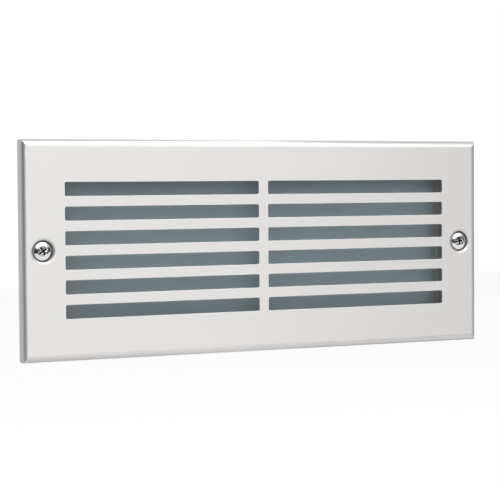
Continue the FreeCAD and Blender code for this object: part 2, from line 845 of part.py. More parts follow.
def lampholder_terminal_screws():
    screw = slotted_screw(clamp_screw_radius, clamp_screw_length, clamp_head_radius,
                          clamp_head_height)
    return [aimed(screw, V(0, 0, -side), clamp_middle(side) + V(0, 0, side * clamp_head_place))
            for side in (-1, 1)]


# ----------------------------------------------------------------------------- lamp
def on_lamp(solid):
    """Place a piece built along +Y from the lamp's tip."""
    return aimed(solid, V(1, 0, 0), V(lamp_tip, lamp_y, 0))


def housing_rim():
    """Outer radius of the housing's rim, where the globe sits on it."""
    return math.sqrt(globe_radius ** 2 - globe_setoff ** 2)


def lamp_globe():
    centre = V(0, globe_centre, 0)
    ball = Part.makeSphere(globe_radius, centre)
    ball = ball.cut(Part.makeSphere(globe_radius - globe_wall, centre))
    reach = globe_radius + through
    below = block(V(-reach, globe_centre - reach, -reach), V(reach, housing_length, reach))
    return on_lamp(ball.cut(below))


def lamp_housing():
    """Hollow plastic housing: neck inside the cap, flared to the globe."""
    rim = housing_rim()
    inner = rim - housing_wall
    pocket = inner - board_pocket
    housing = turned([
        (neck_radius - housing_wall, cap_start + neck_inset), (neck_radius, cap_start + neck_inset),
        (neck_radius, cap_end), (cap_radius + housing_shoulder, cap_end, small_edge),
        (rim - flare_step, housing_length - flare_length, flare_bend), (rim, housing_length),
        (inner, housing_length), (pocket, board_seat), (pocket - board_ledge, board_seat),
        (neck_radius - housing_wall, cap_end)])
    return on_lamp(housing)


def lamp_cap():
    cap = turned([
        (cap_radius - cap_sheet, cap_start), (cap_radius, cap_start, small_edge),
        (cap_radius, cap_end), (cap_radius - cap_sheet, cap_end)])
    return on_lamp(cap)


def lamp_insulator():
    outer = cap_radius - cap_sheet
    return on_lamp(turned([
        (0, insulator_start), (lamp_contact_radius + insulator_land, insulator_start, fine_edge),
        (outer - insulator_bevel, cap_start - insulator_bevel, fine_edge),
        (outer, cap_start + insulator_rim), (outer, cap_start + insulator_plug),
        (0, cap_start + insulator_plug)]))


def lamp_contact():
    return on_lamp(turned([
        (0, 0), (lamp_contact_radius, 0, lamp_contact_edge), (lamp_contact_radius, insulator_start),
        (0, insulator_start)]))


def lamp_led_board():
    radius = housing_rim() - housing_wall - board_pocket - board_clearance
    return on_lamp(rod(radius, V(0, board_seat, 0), V(0, board_seat + board_thickness, 0)))


def lamp_leds():
    base = board_seat + board_thickness
    half = V(led_length / 2, 0, led_width / 2)
    chips = []
    for step in range(led_count):
        middle = V(led_circle, base, 0)
        chip = block(middle - half, middle + half + V(0, led_height, 0))
        chip.rotate(V(0, 0, 0), V(0, 1, 0), 360.0 * step / led_count)
        chips.append(on_lamp(chip))
    return chips


def lamp_driver():
    """Driver board standing on edge under the LED board, with its larger parts."""
    half = neck_radius - housing_wall - driver_clearance
    face = driver_sheet / 2
    start = cap_start + driver_start
    parts = start + driver_parts_start
    board = block(V(-half, start, -face), V(half, board_seat, face))
    axis = V(-capacitor_radius, parts, face + capacitor_radius - capacitor_sunk)
    capacitor = rod(capacitor_radius, axis, axis + V(0, capacitor_length, 0))
    coil = block(V(face, parts, face), V(face + coil_width, parts + coil_length, face + coil_height))
    chip = block(V(-chip_width / 2, parts, -face - chip_height),
                 V(chip_width / 2, parts + chip_length, -face))
    return on_lamp(board.fuse([capacitor, coil, chip]))


# ------------------------------------------------------------------- terminal block
def tower_places(z):
    """Axes of the two clamp screws of the pole at z, at its wire hole."""
    return [V(x, pole_y, z)
            for x in (block_left + block_length / 4, block_right - block_length / 4)]


def terminal_block():
    """Moulded block: one barrel per pole, a screw tower at each end, two screw pockets."""
    base = block(V(block_left, block_base - block_web, -block_half_height),
                 V(block_right, block_base, block_half_height))
    rises = []
    bores = []
    for z in pole_z:
        rises.append(rod(pole_radius, V(block_left, pole_y, z), V(block_right, pole_y, z)))
        bores.append(rod(insert_radius + insert_clearance, V(block_left - through, pole_y, z),
                         V(block_right + through, pole_y, z)))
        for place in tower_places(z):
            top = place - V(0, tower_height, 0)
            rises.append(rod(tower_radius, place, top))
            bores.append(rod(pole_head_radius + pole_head_clearance, place, top - V(0, through, 0)))
    body = base.fuse(rises).common(block(V(block_left, pole_y - tower_height, -block_half_height),
                                         V(block_right, block_base, block_half_height)))
    pocket_height = pole_height + pole_radius - block_web + through
    for place in block_screw_places():
        bores.append(rod(m3_radius + screw_hole_clearance, place - V(0, through, 0),
                         V(place.x, block_base + through, place.z)))
        bores.append(rod(m3_head_radius + screw_hole_clearance, place,
                         place - V(0, pocket_height, 0)))
    return body.cut(bores)


def terminal_inserts():
    inserts = []
    for z in pole_z:
        tube = rod(insert_radius, V(block_left + insert_inset, pole_y, z),
                   V(block_right - insert_inset, pole_y, z))
        cuts = [rod(pole_screw_radius + insert_clearance, place,
                    place - V(0, insert_radius + through, 0)) for place in tower_places(z)]
        cuts.append(rod(insert_bore, V(block_left, pole_y, z), V(block_right, pole_y, z)))
        inserts.append(tube.cut(cuts))
    return inserts


def terminal_screws():
    screw = slotted_screw(pole_screw_radius, pole_screw_length, pole_head_radius, pole_head_height)
    return [aimed(screw, V(0, 1, 0), place - V(0, pole_head_place, 0))
            for z in pole_z for place in tower_places(z)]


def terminal_block_screws():
    screw = pan_screw(m3_radius, block_screw_length, m3_head_radius, m3_head_height, m3_recess)
    return [aimed(screw, V(0, 1, 0), place) for place in block_screw_places()]


# ------------------------------------------------------------------ earth and wires
def barrel_ends():
    """Lower and upper end of the earth tag's barrel, on its axis."""
    start = V(earth_x, earth_y - barrel_radius, earth_z + tag_radius + barrel_gap)
    return start, start + V(0, 0, barrel_length)


def earth_tag():
    """Ring tag with a crimped barrel that points up towards the terminal block."""
    front = V(earth_x, earth_y - tag_sheet, earth_z)
    rear = V(earth_x, earth_y, earth_z)
    half = V(tag_neck_width / 2, 0, 0)
    neck = block(front - half, rear + half + V(0, 0, tag_radius + tag_neck_length))
    start, end = barrel_ends()
    tag = rod(tag_radius, front, rear).fuse([neck, rod(barrel_radius, start, end)])
    hole = rod(m4_radius + tag_clearance, front - V(0, through, 0), rear + V(0, through, 0))
    return tag.cut([hole, rod(conductor_radius, start, end + V(0, 0, through))])


def earth_screw():
    screw = pan_screw(m4_radius, earth_screw_length, m4_head_radius, m4_head_height, m4_recess)
    return aimed(screw, V(0, 1, 0), V(earth_x, earth_y - tag_sheet, earth_z))


def block_wire_end(z):
    """Where the insulation of a wire ends inside the terminal block's pole at z."""
    return V(block_left + wire_insert, pole_y, z)


def holder_wire_end(side):
    """Where an insulated wire ends inside the lampholder's wire hole."""
    return clamp_middle(side) + V(0, holder_wire_stop, 0)


def supply_route(z, side):
    """Route from a pole of the terminal block, behind the reflector, to the lampholder."""
    end = holder_wire_end(side)
    drift = (end.z - z) / 4
    return [block_wire_end(z), V(block_left - wire_lead_out, pole_y, z),
            V(reflector_right + reflector_end_flare - wire_under_flare, wire_y, z + drift),
            V(holder_mouth + wire_over_mouth, wire_y, end.z - drift),
            V(terminal_x, wire_y, end.z), end]


def earth_route():
    """Route from the lowest pole down to the earth tag's barrel."""
    end = barrel_ends()[1]
    return [block_wire_end(pole_z[0]), V(earth_x, pole_y, pole_z[0]),
            end + V(0, 0, wire_above_barrel), end]


def conductor_ends():
    """Bared copper at both ends of each wire."""
    ends = [rod(conductor_radius, block_wire_end(z), V(block_left + conductor_reach, pole_y, z))
            for z in pole_z]
    ends += [rod(conductor_radius, holder_wire_end(side), clamp_middle(side)) for side in (-1, 1)]
    low, high = barrel_ends()
    ends.append(rod(conductor_radius, high, low))
    return ends


# -------------------------------------------------------------------- cable entries
def cable_grommet():
    """Rubber grommet in the right-hand entry, its nozzle pointing out of the box."""
    neck = entry_hole_radius - grommet_clearance
    inner_end = -casting_wall - grommet_flange_inner
    nozzle_end = grommet_flange_outer + nozzle_length
    grommet = turned([
        (neck_bore_radius, inner_end), (grommet_flange_radius, inner_end, rubber_edge),
        (grommet_flange_radius, -casting_wall), (neck, -casting_wall), (neck, 0),
        (grommet_flange_radius, 0), (grommet_flange_radius, grommet_flange_outer, rubber_edge),
        (nozzle_base_radius, grommet_flange_outer, rubber_edge),
        (nozzle_tip_radius, nozzle_end, fine_edge),
        (cable_bore_radius, nozzle_end), (cable_bore_radius, grommet_flange_outer),
        (neck_bore_radius, grommet_flange_outer)])
    return aimed(grommet, V(0, 1, 0), entry_places()[0])


def blanking_plug():
    """Closed rubber plug in the left-hand entry, with a shallow dish outside."""
    neck = entry_hole_radius - grommet_clearance
    inner_end = -casting_wall - grommet_flange_inner
    inner_radius = grommet_flange_radius - plug_flange_step
    dish = grommet_flange_outer - plug_dish_depth
    plug = turned([
        (0, inner_end), (inner_radius, inner_end, rubber_edge), (inner_radius, -casting_wall),
        (neck, -casting_wall), (neck, 0), (grommet_flange_radius, 0),
        (grommet_flange_radius, grommet_flange_outer, rubber_edge),
        (cable_bore_radius + plug_dish_slope, grommet_flange_outer, small_edge),
        (cable_bore_radius, dish, small_edge), (0, dish)])
    return aimed(plug, V(0, 1, 0), entry_places()[1])


# ---------------------------------------------------------------------------- build
def build():
    os.makedirs("parts", exist_ok=True)
    save("faceplate", faceplate())
    save("faceplate_screw_left", faceplate_screw(-1, left_recess_turn))
    save("faceplate_screw_right", faceplate_screw(1, right_recess_turn))
    save("sealing_washer_left", sealing_washer(-1))
    save("sealing_washer_right", sealing_washer(1))
    save("diffuser_glass", diffuser_glass())
    save("glass_gasket", glass_gasket())
    save("pressure_strips", *pressure_strips())
    save("back_box", back_box())
    save("reflector", reflector())
    save("reflector_screws", *reflector_screws())
    save("lampholder_bracket", lampholder_bracket())
    save("bracket_screws", *bracket_screws())
    save("lampholder_fixing_screws", *lampholder_fixing_screws())
    save("lampholder_body", lampholder_body())
    save("lampholder_shell", lampholder_shell())
    save("lampholder_contact", lampholder_contact())
    save("lampholder_terminals", *lampholder_terminals())
    save("lampholder_terminal_screws", *lampholder_terminal_screws())
    save("lamp_globe", lamp_globe())
    save("lamp_housing", lamp_housing())
    save("lamp_cap", lamp_cap())
    save("lamp_insulator", lamp_insulator())
    save("lamp_contact", lamp_contact())
    save("lamp_led_board", lamp_led_board())
    save("lamp_leds", *lamp_leds())
    save("lamp_driver", lamp_driver())
    save("terminal_block", terminal_block())
    save("terminal_inserts", *terminal_inserts())
    save("terminal_screws", *terminal_screws())
    save("terminal_block_screws", *terminal_block_screws())
    save("earth_tag", earth_tag())
    save("earth_screw", earth_screw())
    save("wire_live", wire_solid("wire_live", supply_route(pole_z[2], 1)))
    save("wire_neutral", wire_solid("wire_neutral", supply_route(pole_z[1], -1)))
    save("wire_earth", wire_solid("wire_earth", earth_route()))
    save("conductor_ends", *conductor_ends())
    save("cable_grommet", cable_grommet())
    save("blanking_plug", blanking_plug())


build()
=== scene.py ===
"""Looks of the recessed step light: studio, camera, finishes and the fine detail pieces."""
import json
import math

import bmesh
import bpy
from mathutils import Matrix, Vector


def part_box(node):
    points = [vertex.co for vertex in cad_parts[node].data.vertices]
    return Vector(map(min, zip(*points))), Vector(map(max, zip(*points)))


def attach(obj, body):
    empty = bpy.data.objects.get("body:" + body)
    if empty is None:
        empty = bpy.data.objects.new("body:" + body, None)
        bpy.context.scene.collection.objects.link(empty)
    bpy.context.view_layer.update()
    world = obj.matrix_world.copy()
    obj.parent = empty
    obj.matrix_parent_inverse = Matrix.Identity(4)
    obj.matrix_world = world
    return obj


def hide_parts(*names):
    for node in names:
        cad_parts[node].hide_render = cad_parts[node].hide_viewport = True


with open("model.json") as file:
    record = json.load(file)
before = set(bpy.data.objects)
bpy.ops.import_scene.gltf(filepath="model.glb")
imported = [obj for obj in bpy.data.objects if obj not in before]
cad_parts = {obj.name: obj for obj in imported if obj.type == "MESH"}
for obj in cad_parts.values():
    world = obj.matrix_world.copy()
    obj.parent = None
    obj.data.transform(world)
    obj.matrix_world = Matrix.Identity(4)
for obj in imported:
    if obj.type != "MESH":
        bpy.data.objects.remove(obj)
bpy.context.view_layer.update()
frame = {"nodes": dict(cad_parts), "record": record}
nodes = frame["nodes"]

MM = 0.001
TAU = 2 * math.pi
WHITE = (1.0, 1.0, 1.0, 1.0)

# ------------------------------------------------------------------- camera and stage
# The view of the photograph: the light is seen from its left, a little from above.
CAMERA_YAW = math.radians(26.095)
CAMERA_PITCH = math.radians(2.151)
CAMERA_ROLL = math.radians(-0.4205)
CAMERA_DISTANCE = 812.857 * MM
CAMERA_AIM = Vector((-7.3666, -5.0, -1.8063)) * MM      # on the faceplate's front
IMAGE_PIXELS = 500
FOCAL_PIXELS = 1720.83
SENSOR_MM = 36.0
CLIP_START = 10 * MM
FLOOR_HEIGHT = -0.26
FLOOR_HALF = 4.0
FLOOR_PAPER = 0.86
FLOOR_GLOW = 0.27           # keeps the paper nearly white round the light's shadow
LAMP_PLACE = (0.05, -0.80, 0.80)
LAMP_SIZE = (1.5, 1.0)
LAMP_POWER = 5.8


def studio_camera():
    forward = Vector((math.sin(CAMERA_YAW) * math.cos(CAMERA_PITCH),
                      math.cos(CAMERA_YAW) * math.cos(CAMERA_PITCH), -math.sin(CAMERA_PITCH)))
    level = Vector((math.cos(CAMERA_YAW), -math.sin(CAMERA_YAW), 0))
    upright = level.cross(forward)
    right = math.cos(CAMERA_ROLL) * level + math.sin(CAMERA_ROLL) * upright
    up = math.cos(CAMERA_ROLL) * upright - math.sin(CAMERA_ROLL) * level
    data = bpy.data.cameras.new("camera")
    data.sensor_width = SENSOR_MM
    data.lens = FOCAL_PIXELS / IMAGE_PIXELS * SENSOR_MM
    data.clip_start = CLIP_START
    camera = bpy.data.objects.new("camera", data)
    bpy.context.scene.collection.objects.link(camera)
    place = CAMERA_AIM - forward * CAMERA_DISTANCE
    camera.matrix_world = Matrix((
        (right.x, up.x, -forward.x, place.x), (right.y, up.y, -forward.y, place.y),
        (right.z, up.z, -forward.z, place.z), (0, 0, 0, 1)))
    bpy.context.scene.camera = camera


def even(value):
    """The same value along X, Y and Z, or for red, green and blue."""
    return (value,) * 3


class Shading:
    """A node tree with short calls for adding nodes and joining them.

    add() takes a node's kind without "ShaderNode", its settings, and a value or a socket for
    each input: by the input's name with _ for a space, or i0, i1 and so on by its number."""

    def __init__(self, tree, clear=True):
        self.tree = tree
        if clear:
            tree.nodes.clear()

    def add(self, kind, settings=None, **inputs):
        node = self.tree.nodes.new("ShaderNode" + kind)
        for name, value in (settings or {}).items():
            setattr(node, name, value)
        for name, value in inputs.items():
            key = int(name[1:]) if name[0] == "i" and name[1:].isdigit() else name.replace("_", " ")
            self.join(value, node.inputs[key])
        return node

    def join(self, value, socket):
        """Link an output to the socket, or set the socket's value."""
        if isinstance(value, bpy.types.NodeSocket):
            self.tree.links.new(value, socket)
        else:
            socket.default_value = value

    def math(self, operation, first, second=0.0):
        return self.add("Math", {"operation": operation}, i0=first, i1=second).outputs[0]

    def smooth(self, value, low, high, to_low, to_high):
        """Smooth step of a value from one range to another."""
        return self.add("MapRange", {"interpolation_type": "SMOOTHSTEP"}, Value=value, From_Min=low,
                        From_Max=high, To_Min=to_low, To_Max=to_high).outputs[0]

    def blend(self, factor, first, second):
        """One number at factor 0, the other at factor 1."""
        node = self.add("Mix", {"data_type": "FLOAT"})
        self.join(factor, node.inputs[0])
        self.join(first, node.inputs[2])
        self.join(second, node.inputs[3])
        return node.outputs[0]

    def mix(self, factor, first, second):
        """One colour at factor 0, the other at factor 1."""
        node = self.add("Mix", {"data_type": "RGBA"})
        self.join(factor, node.inputs[0])
        self.join(first, node.inputs[6])
        self.join(second, node.inputs[7])
        return node.outputs[2]


# The room: brightnesses, and between which parts of a direction (x, y, z) one gives way to
# the next.
WORLD_FILL = 0.80           # light from the room on dull surfaces
BAND = 0.16                 # the dark room round the camera, as polished metal shows it
BAND_TOP_Z = (0.16, 0.34)
SOFTBOX = 1.42
FRONT_Y = (-0.30, 0.10)     # from the front room to the room behind the light
LEFT_GAP = 0.02             # a dark opening to the left of the camera
LEFT_GAP_X = (-0.65, -0.20)
RIGHT_WALL = 0.22
RIGHT_WALL_X = (0.55, 0.95)
BACK_LEFT = 0.70
BACK_RIGHT = 0.22
BACK_SIDES_X = (-0.3, 0.3)
BACK_UPPER = 0.70
BACK_UPPER_Z = (0.10, 0.60)
# The floor as polished metal shows it: brightnesses, and the places in metres between which
# they change.
FLOOR_NEAR = 0.95           # below the light
FLOOR_FRONT = 0.12          # well in front of it
FLOOR_FRONT_Y = (-1.10, -0.55)
FLOOR_LEFT = 0.08           # the share of both that remains well to the left
FLOOR_LEFT_X = (-0.75, -0.35)
FLOOR_BACK = 0.50           # behind the light
FLOOR_BACK_Y = (-0.15, 0.20)


def studio_world():
    """White to the camera; to the metal, a soft white room with a dark side round the camera."""
    world = bpy.data.worlds.new("studio")
    bpy.context.scene.world = world
    world.use_nodes = True
    s = Shading(world.node_tree)
    direction = s.add("TexCoord").outputs["Generated"]
    xyz = s.add("SeparateXYZ", i0=direction).outputs
    front = s.smooth(xyz["Y"], *FRONT_Y, 1.0, 0.0)
    right_side = s.smooth(xyz["X"], *RIGHT_WALL_X, 1.0, RIGHT_WALL)
    left_side = s.smooth(xyz["X"], *LEFT_GAP_X, LEFT_GAP, 1.0)
    rise = s.smooth(xyz["Z"], *BAND_TOP_Z, BAND, SOFTBOX)
    front_light = s.math("MULTIPLY", rise, s.math("MULTIPLY", right_side, left_side))
    back_side = s.smooth(xyz["X"], *BACK_SIDES_X, BACK_LEFT, BACK_RIGHT)
    back_light = s.blend(s.smooth(xyz["Z"], *BACK_UPPER_Z, 0.0, 1.0), back_side, BACK_UPPER)
    room = s.blend(front, back_light, front_light)
    path = s.add("LightPath").outputs
    seen = s.math("MAXIMUM", path["Is Glossy Ray"], path["Is Transmission Ray"])
    strength = s.math("MAXIMUM", s.blend(seen, WORLD_FILL, room), path["Is Camera Ray"])
    background = s.add("Background", Color=WHITE, Strength=strength)
    s.add("OutputWorld", Surface=background.outputs[0])


def overhead_lamp():
    """Large soft lamp above the camera, turned to the light's middle."""
    data = bpy.data.lights.new("overhead", "AREA")
    data.shape = "RECTANGLE"
    data.size, data.size_y = LAMP_SIZE
    data.energy = LAMP_POWER
    lamp = bpy.data.objects.new("overhead", data)
    bpy.context.scene.collection.objects.link(lamp)
    lamp.location = LAMP_PLACE
    lamp.rotation_euler = (-Vector(LAMP_PLACE)).to_track_quat("-Z", "Y").to_euler()


def studio_floor():
    """Pale paper below the light; polished metal sees the floor of the room instead."""
    mesh = bpy.data.meshes.new("floor")
    h = FLOOR_HALF
    mesh.from_pydata([(-h, -h, FLOOR_HEIGHT), (h, -h, FLOOR_HEIGHT), (h, h, FLOOR_HEIGHT),
                      (-h, h, FLOOR_HEIGHT)], [], [(0, 1, 2, 3)])
    floor = bpy.data.objects.new("floor", mesh)
    bpy.context.scene.collection.objects.link(floor)
    material = bpy.data.materials.new("floor")
    material.use_nodes = True
    s = Shading(material.node_tree)
    path = s.add("LightPath").outputs
    paper = s.add("BsdfDiffuse", Color=even(FLOOR_PAPER) + (1.0,))
    glow = s.add("Emission", Color=WHITE,
                 Strength=s.math("MULTIPLY", path["Is Camera Ray"], FLOOR_GLOW))
    both = s.add("AddShader", i0=paper.outputs[0], i1=glow.outputs[0])
    spot = s.add("SeparateXYZ", i0=s.add("TexCoord").outputs["Object"]).outputs
    front = s.smooth(spot["Y"], *FLOOR_FRONT_Y, FLOOR_FRONT, FLOOR_NEAR)
    front = s.math("MULTIPLY", front, s.smooth(spot["X"], *FLOOR_LEFT_X, FLOOR_LEFT, 1.0))
    brightness = s.blend(s.smooth(spot["Y"], *FLOOR_BACK_Y, 0.0, 1.0), front, FLOOR_BACK)
    mirrored = s.add("Emission", Color=WHITE, Strength=brightness)
    seen = s.math("MAXIMUM", path["Is Glossy Ray"], path["Is Transmission Ray"])
    shown = s.add("MixShader", i0=seen, i1=both.outputs[0], i2=mirrored.outputs[0])
    s.add("OutputMaterial", Surface=shown.outputs[0])
    mesh.materials.append(material)


# -------------------------------------------------------------------------- materials
# Noise is smoothed between two of its values, and its grains are in cells per metre.
NOISE_SPAN = (0.3, 0.7)
BLOTCH_SPAN = (0.25, 0.75)
SMEAR_SPAN = (0.3, 0.75)
BRUSH_STREAKS = (6, 900, 900)
BRUSH_CLOUDS = (9, 9, 14)
BRUSH_MARKS = (45, 5200, 5200)
BRUSH_WAVES = 30
SCREW_SMEARS = 700
SCREW_SCUFFS = 1100
STEEL_LIGHT = (0.85, 0.835, 0.82, 1.0)
STEEL_DARK = (0.83, 0.816, 0.80, 1.0)
STEEL_ROUGH = 0.50
STEEL_ROUGH_SPREAD = 0.012
STEEL_ANISOTROPY = 0.8
SCREW_STEEL_DARK = (0.76, 0.75, 0.75, 1.0)
SCREW_STEEL_LIGHT = (0.84, 0.83, 0.83, 1.0)
SCREW_ROUGH = (0.07, 0.15)
# Painted shade: dark colour for the screws' cross recesses, standing in for the shade down in them.
RECESS_PAINTED_SHADE = (0.10, 0.095, 0.095, 1.0)
screw_low, screw_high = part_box("faceplate_screw_right")
SCREW_X = (screw_low[0] + screw_high[0]) / 2
RECESS_TOP = screw_low[1] + 0.35 * MM       # the head's crown is in front of this
RECESS_FADE = 0.6 * MM                      # over which the painted shade sets in
RECESS_FOOT = screw_low[1] + 2.6 * MM
RECESS_RADIUS = 2.7 * MM
EARTH_GREEN = (0.05, 0.34, 0.07, 1.0)
EARTH_YELLOW = (0.85, 0.68, 0.04, 1.0)
STRIPE_SHARE = 0.88         # of the wire's radius: the stripes are beyond this


def scaled_noise(s, scale, detail=3.0, roughness=0.55):
    """Noise over the object's own coordinates, with so many cells per metre along X, Y, Z."""
    coordinates = s.add("TexCoord").outputs["Object"]
    mapped = s.add("Mapping", Vector=coordinates, Scale=scale).outputs[0]
    noise = s.add("TexNoise", Vector=mapped, Scale=1.0, Detail=detail, Roughness=roughness)
    return noise.outputs["Fac"]


def shade(colour, factor):
    """A colour made lighter or darker, with its alpha."""
    return tuple(min(1.0, part * factor) for part in colour[:3]) + (1.0,)


def finish(name, colour, roughness, metallic=0.0, grain=None, blotch=0.06, blotch_scale=60.0,
           rough_spread=0.06, **sockets):
    """Principled finish with blotchy colour and roughness, and bumps of one or more grains.

    blotch is the share by which the colour goes up and down, and rough_spread the part of the
    roughness that does. grain is a list of (cells per metre, height in metres, strength), and
    sockets are values of the shader's other inputs."""
    material = bpy.data.materials.new(name)
    material.use_nodes = True
    s = Shading(material.node_tree)
    blotches = scaled_noise(s, even(blotch_scale), 4.0)
    surface = s.add("BsdfPrincipled")
    spread = s.smooth(blotches, *NOISE_SPAN, 0.0, 1.0)
    s.join(s.mix(spread, shade(colour, 1 - blotch), shade(colour, 1 + blotch)),
           surface.inputs["Base Color"])
    s.join(s.smooth(blotches, *BLOTCH_SPAN, roughness - rough_spread, roughness + rough_spread),
           surface.inputs["Roughness"])
    surface.inputs["Metallic"].default_value = metallic
    for key, value in sockets.items():
        surface.inputs[key.replace("_", " ")].default_value = value
    normal = None
    for scale, height, strength in grain or ():
        bump = s.add("Bump", Strength=strength, Distance=height, Height=scaled_noise(s, scale))
        if normal is not None:
            s.join(normal, bump.inputs["Normal"])
        normal = bump.outputs[0]
    if normal is not None:
        s.join(normal, surface.inputs["Normal"])
    s.add("OutputMaterial", Surface=surface.outputs[0])
    return material


def faceplate_steel():
    """Fine-brushed stainless steel, the brush marks along X."""
    material = bpy.data.materials.new("brushed_steel")
    material.use_nodes = True
    s = Shading(material.node_tree)
    surface = s.add("BsdfPrincipled")
    streaks = scaled_noise(s, BRUSH_STREAKS, 4.0, 0.6)
    clouds = scaled_noise(s, BRUSH_CLOUDS, 2.0)
    tone = s.math("ADD", s.math("MULTIPLY", streaks, 0.5), s.math("MULTIPLY", clouds, 0.5))
    s.join(s.mix(s.smooth(tone, *NOISE_SPAN, 0.0, 1.0), STEEL_DARK, STEEL_LIGHT),
           surface.inputs["Base Color"])
    s.join(s.smooth(streaks, *NOISE_SPAN, STEEL_ROUGH - STEEL_ROUGH_SPREAD,
                    STEEL_ROUGH + STEEL_ROUGH_SPREAD), surface.inputs["Roughness"])
    surface.inputs["Metallic"].default_value = 1.0
    surface.inputs["Anisotropic"].default_value = STEEL_ANISOTROPY
    surface.inputs["Anisotropic Rotation"].default_value = 0.25     # a quarter turn
    marks = s.add("Bump", Strength=0.3, Distance=5e-6, Height=scaled_noise(s, BRUSH_MARKS))
    waves = s.add("Bump", Strength=0.05, Distance=2e-5,
                  Height=scaled_noise(s, even(BRUSH_WAVES)), Normal=marks.outputs[0])
    s.join(waves.outputs[0], surface.inputs["Normal"])
    s.add("OutputMaterial", Surface=surface.outputs[0])
    return material


def polished_steel():
    """Polished screw steel, with painted shade: its colour darkened down in the cross recess."""
    material = bpy.data.materials.new("polished_steel")
    material.use_nodes = True
    s = Shading(material.node_tree)
    surface = s.add("BsdfPrincipled")
    place = s.add("SeparateXYZ", i0=s.add("TexCoord").outputs["Object"]).outputs
    across = s.math("SUBTRACT", s.math("ABSOLUTE", place["X"]), SCREW_X)
    squares = s.math("ADD", s.math("POWER", across, 2.0), s.math("POWER", place["Z"], 2.0))
    radius = s.math("SQRT", squares)
    # Painted shade: the cross recess is coloured dark for the shade down in it.
    deep = s.smooth(place["Y"], RECESS_TOP, RECESS_TOP + RECESS_FADE, 0.0, 1.0)
    inside = s.math("MULTIPLY", deep, s.math("LESS_THAN", radius, RECESS_RADIUS))
    inside = s.math("MULTIPLY", inside, s.math("LESS_THAN", place["Y"], RECESS_FOOT))
    smears = scaled_noise(s, even(SCREW_SMEARS), 4.0)
    steel = s.mix(s.smooth(smears, *NOISE_SPAN, 0.0, 1.0), SCREW_STEEL_DARK, SCREW_STEEL_LIGHT)
    s.join(s.mix(inside, steel, RECESS_PAINTED_SHADE), surface.inputs["Base Color"])
    s.join(s.smooth(smears, *SMEAR_SPAN, *SCREW_ROUGH), surface.inputs["Roughness"])
    surface.inputs["Metallic"].default_value = 1.0
    scuffs = s.add("Bump", Strength=0.2, Distance=6e-6,
                   Height=scaled_noise(s, even(SCREW_SCUFFS)))
    s.join(scuffs.outputs[0], surface.inputs["Normal"])
    s.add("OutputMaterial", Surface=surface.outputs[0])
    return material


def earth_insulation():
    """Green insulation with the two yellow stripes of an earth wire, in front and behind."""
    material = finish("earth_insulation", EARTH_GREEN, 0.35, grain=[(even(900), 1e-5, 0.2)])
    s = Shading(material.node_tree, clear=False)
    surface = next(node for node in s.tree.nodes if node.type == "BSDF_PRINCIPLED")
    green = surface.inputs["Base Color"].links[0].from_socket
    low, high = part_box("wire_earth")
    depth = s.add("SeparateXYZ", i0=s.add("TexCoord").outputs["Object"]).outputs["Y"]
    aside = s.math("ABSOLUTE", s.math("SUBTRACT", depth, (low[1] + high[1]) / 2))
    stripe = s.math("GREATER_THAN", aside, STRIPE_SHARE * (high[1] - low[1]) / 2)
    s.join(s.mix(stripe, green, EARTH_YELLOW), surface.inputs["Base Color"])
    return material


